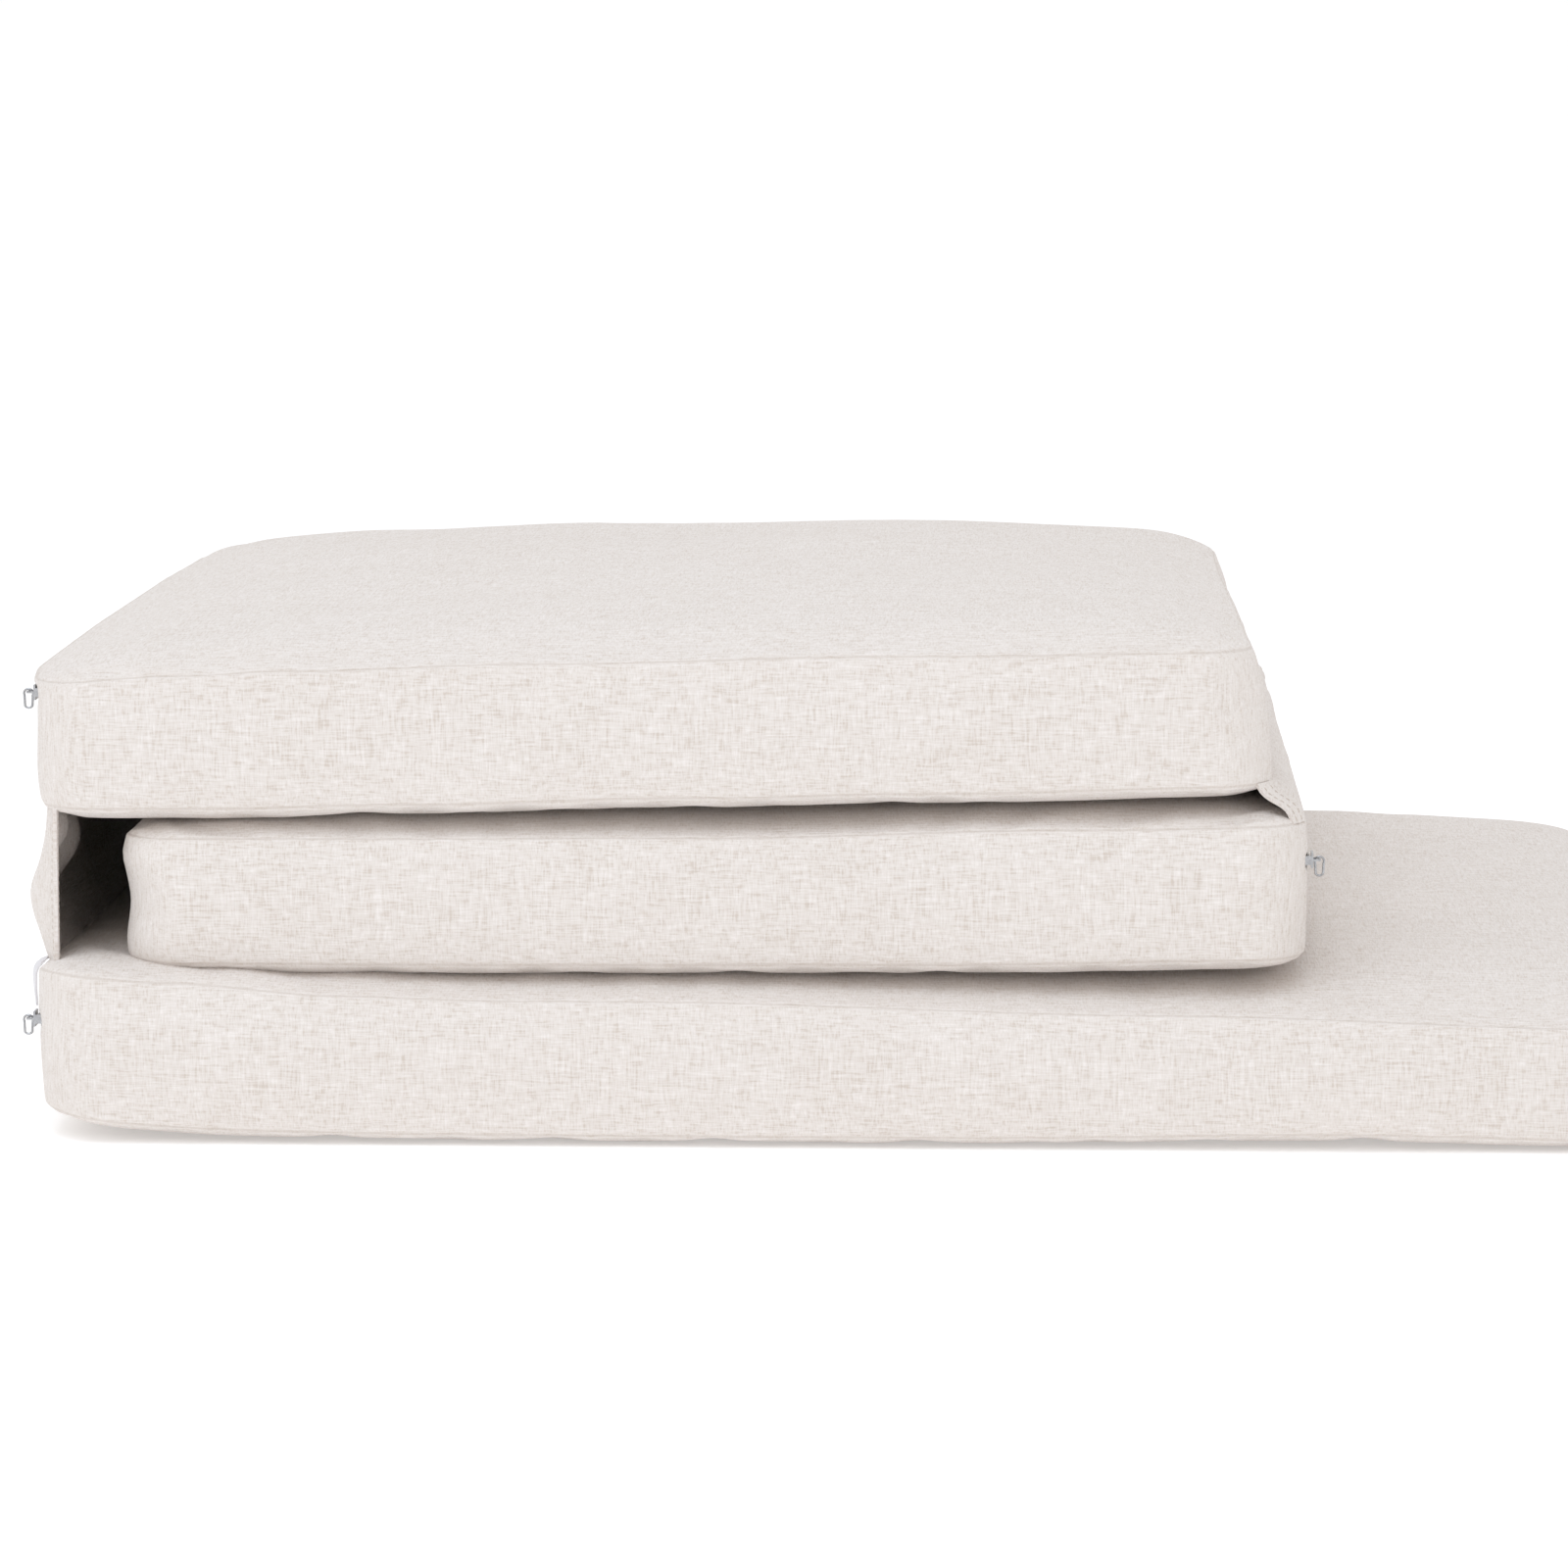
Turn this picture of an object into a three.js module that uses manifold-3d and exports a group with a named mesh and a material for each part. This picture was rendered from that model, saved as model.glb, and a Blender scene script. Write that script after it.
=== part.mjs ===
// A three-panel folding foam mattress, rolled up into a stack: the long base
// panel lies on the floor, a fabric spine strip at its left end carries the top
// panel, and the middle panel hangs from the top panel's right end by a flap and
// lies between the two. Each panel is a zipped box cover over wadding and foam.
//
// Millimetres. +X runs along the base panel from the folded end to the free
// end, +Y from the front edge to the back edge, +Z up from the floor. The
// origin is on the floor, at the middle of the stack's bounding box.

import * as THREE from "three";
import { mergeVertices } from "three/addons/utils/BufferGeometryUtils.js";
import Module from "manifold-3d";

const wasm = await Module();
wasm.setup();

// Panels
const WIDTH = 680;
const BASE_LENGTH = 812;
const TOP_LENGTH = 605;
const MIDDLE_LENGTH = 583;
const THICKNESS = 79;
const LAYER_PITCH = 80;
const CORNER_RADIUS = 28;
const MIDDLE_START = 43; // from the base panel's left end to the middle panel's
const SET_BACK = 16; // how far the folded panels lie behind the base's front edge

// Cover cloth and filling
const CLOTH = 1.2;
const GAP = 0.3; // between neighbouring pieces
const WADDING = 8;
const FOAM_END_CLEARANCE = 6; // room for the zip between the foam and its end wall

// Zip
const ZIP_HEIGHT = 57; // of the coil's middle above the panel's underside
const COIL_WIDTH = 5;
const COIL_DEPTH = 1.6;
const COIL_SIDES = 12;
const TAPE_WIDTH = 13;
const TAPE_DEPTH = 0.7;
const SLIDER_LENGTH = 10;
const SLIDER_TALL = 7.4;
const SLIDER_WING = 1;
const POST_LENGTH = 2.4;
const BRIDGE_BAR = 0.9;
const BRIDGE_INSET = 1; // of the bridge's posts from the slider's ends
const BRIDGE_OPENING = 2.7; // between the outer wing and the bridge's bar
const PULL_WIRE = 1.1;
const PULL_WIDTH = 5.6;
const PULL_HEIGHT = 10.5;

// Fabric hinges and label
const HEM_LENGTH = 9;
const HEM_THICKNESS = 1.9;
const SPINE_FRONT = -310;
const SPINE_BACK = 322;
const HINGE_CLEARANCE = 0.4; // between a fabric hinge and the panels it joins
const FLAP_RISE = 14; // of the flap's upper edge above the top panel's underside
const FLAP_SECTION = 1.7; // the flap's thickness, measured level across its slope
const LABEL_FRONT = -300;
const LABEL_BACK = -266;
const LABEL_LOW = 61.2;
const LABEL_HIGH = 78.2;
const LABEL_THICKNESS = 0.5;

// How far the bridge's bar and a hanging pull stand out from their end wall
const BAR_REACH = GAP + SLIDER_WING + BRIDGE_OPENING + BRIDGE_BAR / 2;
const PULL_REACH = BAR_REACH + PULL_WIDTH / 2;

const fabric = standard(0xe9e1db, 0.95, 0);
const webbing = standard(0xe6dfd8, 0.9, 0);
const foam = standard(0xf2e8c4, 1, 0);
const wadding = standard(0xfafafa, 1, 0);
const nylon = standard(0xe9e6e0, 0.6, 0);
const metal = standard(0xb9babd, 0.35, 1);
const label = standard(0xf3f1f2, 0.8, 0);

function standard(color, roughness, metalness) {
  return new THREE.MeshStandardMaterial({ color, roughness, metalness });
}

function mesh(name, geometry, material) {
  const made = new THREE.Mesh(geometry, material);
  made.name = name;
  return made;
}

// A box between two corners.
function box([x0, y0, z0], [x1, y1, z1]) {
  const made = new THREE.BoxGeometry(x1 - x0, y1 - y0, z1 - z0);
  return made.translate((x0 + x1) / 2, (y0 + y1) / 2, (z0 + z1) / 2);
}

// A closed outline in XY, pulled up from z0 to z1.
function prism(shape, z0, z1) {
  const made = new THREE.ExtrudeGeometry(shape, {
    depth: z1 - z0,
    bevelEnabled: false,
    curveSegments: 6,
  });
  return made.translate(0, 0, z0);
}

// A plan with rounded corners, from x0 to x1 and across the panel's width.
function roundedPlan(x0, x1, inset) {
  const radius = CORNER_RADIUS - inset;
  const front = -WIDTH / 2 + inset;
  const back = WIDTH / 2 - inset;
  const shape = new THREE.Shape();
  shape.moveTo(x0 + radius, front);
  shape.lineTo(x1 - radius, front);
  shape.absarc(x1 - radius, front + radius, radius, -Math.PI / 2, 0);
  shape.absarc(x1 - radius, back - radius, radius, 0, Math.PI / 2);
  shape.absarc(x0 + radius, back - radius, radius, Math.PI / 2, Math.PI);
  shape.absarc(x0 + radius, front + radius, radius, Math.PI, Math.PI * 1.5);
  return shape;
}

// The plan of a long side's boxing: a strip of cloth that turns both corners.
// It lies on the front for side = -1 and on the back for side = 1.
function boxingPlan(length, side) {
  const wall = (side * WIDTH) / 2;
  const centre = wall - side * CORNER_RADIUS;
  const inner = CORNER_RADIUS - CLOTH;
  const out = (side * Math.PI) / 2;
  const turns = side > 0;
  const shape = new THREE.Shape();
  shape.moveTo(0, centre);
  shape.absarc(CORNER_RADIUS, centre, CORNER_RADIUS, Math.PI, out, turns);
  shape.absarc(length - CORNER_RADIUS, centre, CORNER_RADIUS, out, 0, turns);
  shape.lineTo(length - CLOTH, centre);
  shape.absarc(length - CORNER_RADIUS, centre, inner, 0, out, !turns);
  shape.absarc(CORNER_RADIUS, centre, inner, out, Math.PI, !turns);
  return shape;
}

function solid(geometry) {
  const bare = geometry.clone();
  bare.deleteAttribute("normal");
  bare.deleteAttribute("uv");
  const merged = mergeVertices(bare, 1e-4);
  const triVerts = new Uint32Array(merged.index.array);
  const vertProperties = new Float32Array(merged.attributes.position.array);
  return new wasm.Manifold(new wasm.Mesh({ numProp: 3, vertProperties, triVerts }));
}

function joined(first, ...rest) {
  let made = solid(first);
  for (const geometry of rest) {
    made = made.add(solid(geometry));
  }
  const result = made.getMesh();
  const geometry = new THREE.BufferGeometry();
  const positions = new THREE.BufferAttribute(new Float32Array(result.vertProperties), 3);
  geometry.setAttribute("position", positions);
  geometry.setIndex(new THREE.BufferAttribute(new Uint32Array(result.triVerts), 1));
  geometry.computeVertexNormals();
  return geometry;
}

// The filling: a foam block between two sheets of wadding. x0 and x1 are the
// inner sides of the two end walls.
function filling(prefix, x0, x1) {
  const inset = CLOTH + GAP;
  const low = CLOTH + GAP;
  const high = THICKNESS - low;
  const plan = roundedPlan(x0, x1, inset);
  return [
    mesh(`${prefix}_wadding_lower`, prism(plan, low, low + WADDING), wadding),
    mesh(`${prefix}_wadding_upper`, prism(plan, high - WADDING, high), wadding),
    mesh(`${prefix}_foam_core`, prism(plan, low + WADDING + GAP, high - WADDING - GAP), foam),
  ];
}

// The cover without its zip: two faces, two long boxing strips that turn the
// corners, and the plain end strip. The zip is at x = 0.
function cover(prefix, length) {
  const straight = WIDTH / 2 - CORNER_RADIUS - GAP;
  const low = CLOTH + GAP;
  const high = THICKNESS - low;
  const plan = roundedPlan(0, length, 0);
  const plainEnd = box([length - CLOTH, -straight, low], [length, straight, high]);
  return [
    mesh(`${prefix}_cover_lower`, prism(plan, 0, CLOTH), fabric),
    mesh(`${prefix}_cover_upper`, prism(plan, THICKNESS - CLOTH, THICKNESS), fabric),
    mesh(`${prefix}_boxing_front`, prism(boxingPlan(length, -1), low, high), fabric),
    mesh(`${prefix}_boxing_back`, prism(boxingPlan(length, 1), low, high), fabric),
    mesh(`${prefix}_boxing_end`, plainEnd, fabric),
  ];
}

// The end wall at x = 0 that holds the zip: two strips of cloth with the coil
// between them and a woven tape behind each.
function zipWall(prefix) {
  const straight = WIDTH / 2 - CORNER_RADIUS - GAP;
  const low = CLOTH + GAP;
  const high = THICKNESS - low;
  const under = ZIP_HEIGHT - COIL_WIDTH / 2 - GAP;
  const over = ZIP_HEIGHT + COIL_WIDTH / 2 + GAP;
  const tape0 = CLOTH + GAP;
  const tape1 = tape0 + TAPE_DEPTH;
  const tapeEnd = straight - GAP;
  const strip = (z0, z1) => box([0, -straight, z0], [CLOTH, straight, z1]);
  const tape = (z0, z1) => box([tape0, -tapeEnd, z0], [tape1, tapeEnd, z1]);
  return [
    mesh(`${prefix}_zip_strip_lower`, strip(low, under), fabric),
    mesh(`${prefix}_zip_strip_upper`, strip(over, high), fabric),
    mesh(`${prefix}_zip_tape_lower`, tape(under - TAPE_WIDTH, under), webbing),
    mesh(`${prefix}_zip_tape_upper`, tape(over, over + TAPE_WIDTH), webbing),
    mesh(`${prefix}_zip_coil`, coil(), nylon),
  ];
}

// The closed coil, a flattened rod from behind the slider's post to the far end.
function coil() {
  const start = sliderStart() + POST_LENGTH + GAP;
  const end = WIDTH / 2 - CORNER_RADIUS - GAP * 2;
  const made = new THREE.CylinderGeometry(0.5, 0.5, end - start, COIL_SIDES);
  made.scale(COIL_DEPTH, 1, COIL_WIDTH);
  return made.translate(coilMiddle(), (start + end) / 2, ZIP_HEIGHT);
}

function coilMiddle() {
  return CLOTH / 2 + GAP / 2;
}

// The slider's front end, where the closed zip begins beside the front corner.
function sliderStart() {
  return -WIDTH / 2 + CORNER_RADIUS + GAP * 2;
}

// The slider: an outer and an inner wing around the coil, joined by a post, with
// a bridge on the outer wing that the pull hangs from.
function slider() {
  const y0 = sliderStart();
  const y1 = y0 + SLIDER_LENGTH;
  const tall = SLIDER_TALL / 2;
  const waist = COIL_WIDTH / 2 - GAP;
  const outer = -GAP;
  const inner = CLOTH + GAP * 2 + TAPE_DEPTH;
  const root = outer - SLIDER_WING / 2;
  const wing = (x0) => across(x0, x0 + SLIDER_WING, y0, y1, tall);
  const bridge0 = y0 + BRIDGE_INSET;
  const bridge1 = y1 - BRIDGE_INSET;
  const half = BRIDGE_BAR / 2;
  const barOuter = -BAR_REACH - half;
  return joined(
    wing(outer - SLIDER_WING),
    wing(inner),
    across(root, inner + SLIDER_WING / 2, y0, y0 + POST_LENGTH, waist),
    across(barOuter, barOuter + BRIDGE_BAR, bridge0, bridge1, half),
    across(barOuter, root, bridge0, bridge0 + BRIDGE_BAR, half),
    across(barOuter, root, bridge1 - BRIDGE_BAR, bridge1, half),
  );
}

// A box at the zip's height that reaches as far above it as below.
function across(x0, x1, y0, y1, half) {
  return box([x0, y0, ZIP_HEIGHT - half], [x1, y1, ZIP_HEIGHT + half]);
}

// The pull: a ring of wire drawn out into an oval, across the zip's line, that
// hangs from the bridge's bar.
function pull() {
  const radius = (PULL_WIDTH - PULL_WIRE) / 2;
  const drop = PULL_HEIGHT - PULL_WIDTH;
  const made = new THREE.TorusGeometry(radius, PULL_WIRE / 2, 10, 24);
  made.rotateX(Math.PI / 2);
  const points = made.attributes.position;
  for (let i = 0; i < points.count; i += 1) {
    if (points.getZ(i) < -PULL_WIRE) {
      points.setZ(i, points.getZ(i) - drop);
    }
  }
  const y = sliderStart() + SLIDER_LENGTH / 2;
  const z = ZIP_HEIGHT + BRIDGE_BAR / 2 + GAP + PULL_WIRE / 2 - radius;
  return made.translate(-BAR_REACH, y, z);
}

// One whole panel with its zip at the left, from x = 0 to x = length.
function panel(prefix, length) {
  const made = new THREE.Group();
  made.add(...filling(prefix, FOAM_END_CLEARANCE, length - CLOTH - GAP));
  made.add(...cover(prefix, length));
  made.add(...zipWall(prefix));
  made.add(mesh(`${prefix}_zip_slider`, slider(), metal));
  made.add(mesh(`${prefix}_zip_pull`, pull(), metal));
  return made;
}

// The spine strip: a standing strip of cloth with a thicker folded hem at its
// front and back ends.
function spineStrip() {
  const x0 = GAP;
  const thin = x0 + CLOTH;
  const thick = x0 + HEM_THICKNESS;
  const plan = new THREE.Shape();
  plan.moveTo(x0, SPINE_FRONT);
  plan.lineTo(thick, SPINE_FRONT);
  plan.lineTo(thick, SPINE_FRONT + HEM_LENGTH);
  plan.lineTo(thin, SPINE_FRONT + HEM_LENGTH);
  plan.lineTo(thin, SPINE_BACK - HEM_LENGTH);
  plan.lineTo(thick, SPINE_BACK - HEM_LENGTH);
  plan.lineTo(thick, SPINE_BACK);
  plan.lineTo(x0, SPINE_BACK);
  const z0 = THICKNESS + HINGE_CLEARANCE;
  const z1 = LAYER_PITCH * 2 - HINGE_CLEARANCE;
  return mesh("spine_strip", prism(plan, z0, z1), fabric);
}

// The flap: a strip that slopes from the top panel's right end wall down to the
// middle panel's upper right edge.
function flap() {
  const under = LAYER_PITCH * 2;
  const inner = TOP_LENGTH + HINGE_CLEARANCE;
  const outer = MIDDLE_START + MIDDLE_LENGTH;
  const low = LAYER_PITCH + THICKNESS + HINGE_CLEARANCE;
  const section = new THREE.Shape();
  section.moveTo(inner, under + FLAP_RISE);
  section.lineTo(outer - FLAP_SECTION, low);
  section.lineTo(outer, low);
  section.lineTo(inner + FLAP_SECTION, under + FLAP_RISE);
  const long = SPINE_BACK - SPINE_FRONT;
  const made = new THREE.ExtrudeGeometry(section, { depth: long, bevelEnabled: false });
  made.rotateX(Math.PI / 2);
  return mesh("flap", made.translate(0, SPINE_BACK, 0), fabric);
}

// The label: a blank woven tab in the seam above the base panel's zip.
function careLabel() {
  const made = box(
    [-GAP - LABEL_THICKNESS, LABEL_FRONT, LABEL_LOW],
    [-GAP, LABEL_BACK, LABEL_HIGH],
  );
  return mesh("care_label", made, label);
}

const base = panel("base", BASE_LENGTH);

const middle = panel("middle", MIDDLE_LENGTH);
middle.scale.x = -1;
middle.position.set(MIDDLE_START + MIDDLE_LENGTH, SET_BACK, LAYER_PITCH);

const top = panel("top", TOP_LENGTH);
top.position.set(0, SET_BACK, LAYER_PITCH * 2);

const mattress = new THREE.Group();
mattress.add(base, middle, top, spineStrip(), flap(), careLabel());
mattress.position.set(-(BASE_LENGTH - PULL_REACH) / 2, -SET_BACK / 2, 0);

export default mattress;
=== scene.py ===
"""A folding foam mattress, rolled up into a stack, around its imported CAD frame."""
import math

import bpy
import numpy as np
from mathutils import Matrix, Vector


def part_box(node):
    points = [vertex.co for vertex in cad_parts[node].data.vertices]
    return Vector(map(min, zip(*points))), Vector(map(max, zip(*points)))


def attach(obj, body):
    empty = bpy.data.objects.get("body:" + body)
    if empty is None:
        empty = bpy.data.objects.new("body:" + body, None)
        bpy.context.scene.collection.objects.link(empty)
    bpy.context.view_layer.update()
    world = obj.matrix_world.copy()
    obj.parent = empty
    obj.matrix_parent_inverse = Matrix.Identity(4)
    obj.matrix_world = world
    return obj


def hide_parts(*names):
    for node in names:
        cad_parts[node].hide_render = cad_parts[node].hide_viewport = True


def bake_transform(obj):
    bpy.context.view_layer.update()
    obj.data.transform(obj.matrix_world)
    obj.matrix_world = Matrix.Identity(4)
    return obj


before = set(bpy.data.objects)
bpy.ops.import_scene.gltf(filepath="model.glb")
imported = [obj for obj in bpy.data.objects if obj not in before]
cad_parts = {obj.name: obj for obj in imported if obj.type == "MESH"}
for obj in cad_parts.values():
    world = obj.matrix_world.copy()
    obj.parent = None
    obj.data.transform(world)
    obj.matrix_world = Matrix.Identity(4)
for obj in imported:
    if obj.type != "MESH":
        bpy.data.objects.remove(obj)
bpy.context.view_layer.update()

MM = 0.001


def mm_box(node):
    """A CAD node's lowest and highest corners, in millimetres."""
    low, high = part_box(node)
    return np.array(low) / MM, np.array(high) / MM


# ---------------------------------------------------------------- noise

def waves(seed, shortest, longest, count):
    """A smooth random field over the plane, of about unit height."""
    rng = np.random.default_rng(seed)
    turn = rng.uniform(0, 2 * math.pi, count)
    length = np.exp(rng.uniform(math.log(shortest), math.log(longest), count))
    phase = rng.uniform(0, 2 * math.pi, count)
    kx = 2 * math.pi * np.cos(turn) / length
    ky = 2 * math.pi * np.sin(turn) / length

    def field(u, v):
        u, v = np.asarray(u, float), np.asarray(v, float)
        angle = u[..., None] * kx + v[..., None] * ky + phase
        return np.sin(angle).sum(-1) * math.sqrt(2 / count)

    return field


def smooth(low, high, x):
    """0 up to low and 1 from high, with a soft step between them."""
    t = np.clip((x - low) / (high - low), 0, 1)
    return t * t * (3 - 2 * t)


def curve(points, x):
    """A smooth line through (x, value) points."""
    xs = np.array([p[0] for p in points], float)
    vs = np.array([p[1] for p in points], float)
    x = np.asarray(x, float)
    made = np.full(x.shape, vs[0])
    for i in range(len(xs) - 1):
        made = made + (vs[i + 1] - vs[i]) * smooth(xs[i], xs[i + 1], x)
    return made


# ---------------------------------------------------------------- panels

# the grid: places along an edge, the step inside them, and shares of the wall's height
EDGE_STEPS = (0, 1.5, 3.2, 5.2, 7.6, 10.6, 14.4, 19.2, 25.2, 32.0, 40.0)
COARSE_STEP = 11.0
WALL_STEPS = (0, 0.03, 0.07, 0.13, 0.21, 0.31, 0.43, 0.55)
WALL_STEPS_DOWN = (0.72, 0.46, 0.24, 0.1, 0)
GROOVE_STEPS = (-0.072, -0.047, -0.038, 0.038, 0.047, 0.072)
LEAST_GAP = 0.03  # below the zip's slot

# the slot that the zip lies in
GROOVE_HALF = 3.0  # half its height
GROOVE_LIP = 1.6
GROOVE_DEPTH = 1.9
LIP_RISE, LIP_AWAY, LIP_WIDTH = 0.5, 2.2, 3.0
ZIP_WALL_SHARE, ZIP_WALL_IN = 0.35, 0.2  # the wall beside the zip is flatter than the others

# the walls: pulled in at the seams, full between them
SEAM_DEPTH = 0.9
CORNER_EASE = 0.55  # how much less the seams pull in at the corners
LEAST_PULL = 0.8
WALL_SQUARENESS, WALL_FULLNESS = 3.2, 0.8
WALL_WAVE = 0.9
WALL_PUCKER, WALL_PUCKER_REACH = 0.42, 8.0

# the faces
PULL_REACH = 16.0
FACE_PUCKER, FACE_PUCKER_REACH = 0.5, 9.0
FACE_WAVE, UNDERSIDE_WAVE = 0.9, 0.3

# the cloth simulation
HOLD_REACH = 2.0  # how far from a seam the fabric is held
HOLD_STEPS = 20
UNDERSIDE_FROM, UNDERSIDE_HOLD = 25, 0.6
MOST_SWELL = 4.0  # the fabric never moves further than this
SWELL_FRAMES = 20
CLOTH = {
    "quality": 4, "mass": 0.1, "tension_stiffness": 20, "compression_stiffness": 20,
    "shear_stiffness": 10, "bending_stiffness": 0.8, "use_pressure": True,
    "uniform_pressure_force": 5.0, "shrink_min": -0.004, "pin_stiffness": 1.0,
}
FLOOR_GAP = 0.05


def spaced(length):
    """Grid lines from end to end, closer together near both ends."""
    edge = np.array(EDGE_STEPS)
    inner = length - 2 * edge[-1]
    count = max(2, round(inner / COARSE_STEP))
    middle = edge[-1] + inner * np.arange(1, count) / count
    return np.concatenate([edge, middle, length - edge[::-1]])


def wall_levels(share):
    """Shares of the wall's height, with fine ones at both seams and along the zip."""
    groove = share + np.array(GROOVE_STEPS)
    low = np.array(WALL_STEPS)
    high = 1 - (1 - groove[-1]) * np.array(WALL_STEPS_DOWN)
    return np.concatenate([low[low < groove[0] - LEAST_GAP], groove, high])


class Panel:
    """One panel's outer surface.

    lift_low and lift_high say how far its faces stand above the CAD ones, shift how far it
    leans along x, and crown_high how much its upper face swells.
    """

    def __init__(self, name, seed, zip_side, radius, lift_low, lift_high, shift,
                 crown_high=0.0, seam_low=7.0, seam_high=7.0, pull_in=3.4, roll=13.0):
        low, _ = mm_box(f"{name}_cover_lower")
        _, high = mm_box(f"{name}_cover_upper")
        self.name, self.zip_side = name, zip_side
        self.low, self.high = low, high
        self.size = high - low
        self.centre = (low[0] + high[0]) / 2, (low[1] + high[1]) / 2
        self.seam_low, self.seam_high = seam_low, seam_high
        self.radius, self.pull_in, self.roll = radius, pull_in, roll
        self.lift_low, self.lift_high = lift_low, lift_high
        self.crown_high = crown_high
        self.shift = shift
        coil_low, coil_high = mm_box(f"{name}_zip_coil")
        self.zip_z = (coil_low[2] + coil_high[2]) / 2 - low[2]
        self.swell = waves(seed, 130, 380, 10)
        self.face_swell = waves(seed + 1, 150, 420, 10)
        self.pucker = waves(seed + 2, 13, 34, 16)
        self.pucker_size = waves(seed + 3, 90, 260, 8)

    def plan(self, x, y):
        """Grid points to the rounded plan: x, y, distance from its edge, outward direction."""
        a, b = self.size[0] / 2, self.size[1] / 2
        r = self.radius
        u, v = np.abs(x) - (a - r), np.abs(y) - (b - r)
        corner = (u > 0) & (v > 0)
        reach = np.maximum(np.hypot(u, v), 1e-9)
        rim = np.maximum(u, v)
        nx = np.where(corner, u / reach, np.where(u > v, 1.0, 0.0)) * np.sign(x)
        ny = np.where(corner, v / reach, np.where(u > v, 0.0, 1.0)) * np.sign(y)
        px = np.where(corner, np.sign(x) * (a - r) + nx * rim, x)
        py = np.where(corner, np.sign(y) * (b - r) + ny * rim, y)
        depth = np.where(corner, r - rim, np.minimum(a - np.abs(x), b - np.abs(y)))
        return px, py, depth, nx, ny

    def surface(self, x, y, t, kind):
        """Points of the cover. kind is -1 on the lower face, 1 on the upper one, 0 on the wall."""
        px, py, depth, nx, ny = self.plan(x, y)
        qx, qy = px + nx * depth, py + ny * depth
        cx, cy = self.centre
        thick = self.size[2]
        seam_low = self.seam_low + self.lift_low(qx + cx, qy + cy)
        seam_high = thick - self.seam_high + self.lift_high(qx + cx, qy + cy)
        share = self.zip_share()
        wall_z = np.where(
            t < share,
            seam_low + (self.zip_z - seam_low) * t / share,
            self.zip_z + (seam_high - self.zip_z) * (t - share) / (1 - share),
        )
        pucker = self.pucker(qx, qy) * (0.75 + 0.35 * self.pucker_size(qx, qy))
        # the wall: pulled in at both seams, full between them
        full = np.clip(1 - np.abs(2 * t - 1) ** WALL_SQUARENESS, 0, 1) ** WALL_FULLNESS
        from_seam = np.minimum(t, 1 - t) * thick
        a, b = self.size[0] / 2, self.size[1] / 2
        along = np.maximum(np.abs(ny) * np.abs(qx) / a, np.abs(nx) * np.abs(qy) / b)
        pull = self.pull_in * (1 - CORNER_EASE * along ** 6)
        out = -pull + (pull - LEAST_PULL) * full
        swell = self.swell(qx + qy * 0.7, qy - qx * 0.4 + 2.2 * wall_z)
        out = out + WALL_WAVE * swell * full
        out = out + WALL_PUCKER * pucker * np.exp(-from_seam / WALL_PUCKER_REACH)
        end = nx if self.zip_side == "right" else -nx
        near = smooth(0.97, 1.0, end)
        # the zip lies in a slot whose bottom is flush with the CAD coil
        from_zip = np.abs(wall_z - self.zip_z)
        slot = 1 - smooth(GROOVE_HALF, GROOVE_HALF + GROOVE_LIP, from_zip)
        lip = np.exp(-((from_zip - GROOVE_HALF - LIP_AWAY) / LIP_WIDTH) ** 2)
        flat = ZIP_WALL_SHARE * out - ZIP_WALL_IN + LIP_RISE * lip
        out = np.where(near > 0, out * (1 - near) + near * flat, out)
        out = out - near * slot * GROOVE_DEPTH
        # the faces: rolled over at the seam and crowned towards the middle
        edge = 1 - np.exp(-depth / self.roll)
        dome = (1 - (px / a) ** 2) * (1 - (py / b) ** 2)
        roll_in = -pull * np.exp(-depth / PULL_REACH)
        ripple = FACE_PUCKER * pucker * np.exp(-depth / FACE_PUCKER_REACH)
        waviness = FACE_WAVE * self.face_swell(px, py) * smooth(10, 120, depth)
        across_low = self.lift_low(px + cx, py + cy)
        across_high = self.lift_high(px + cx, py + cy)
        z_low = self.seam_low * (1 - edge) + across_low - UNDERSIDE_WAVE * waviness + 0.5 * ripple
        z_high = (thick - self.seam_high * (1 - edge) + across_high
                  + self.crown_high * dome + waviness + ripple)
        offset = np.where(kind == 0, out, roll_in)
        z = np.where(kind == 0, wall_z, np.where(kind > 0, z_high, z_low))
        x, y = px + nx * offset + cx, py + ny * offset + cy
        level = z - np.where(z > thick / 2, across_high, across_low)
        x = x + self.shift(x - LEFT, y - FRONT, level)
        return np.stack([x, y, z + self.low[2]], -1)

    def zip_share(self):
        """How far up the wall the zip runs, from seam to seam."""
        return (self.zip_z - self.seam_low) / (self.size[2] - self.seam_low - self.seam_high)

    def shell(self, name, grid_x=None, grid_y=None, levels=None, place=None):
        """The closed cover, or another block on the same grid, as a mesh object."""
        xs = spaced(self.size[0]) - self.size[0] / 2 if grid_x is None else grid_x
        ys = spaced(self.size[1]) - self.size[1] / 2 if grid_y is None else grid_y
        ts = wall_levels(self.zip_share()) if levels is None else levels
        nx, ny, nt = len(xs) - 1, len(ys) - 1, len(ts) - 1
        index, grid, kind = {}, [], []

        def vertex(i, j, k):
            key = (i, j, k)
            if key not in index:
                index[key] = len(grid)
                grid.append((xs[i], ys[j], ts[k]))
                wall = i in (0, nx) or j in (0, ny)
                kind.append(0 if wall else (1 if k == nt else -1))
            return index[key]

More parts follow.
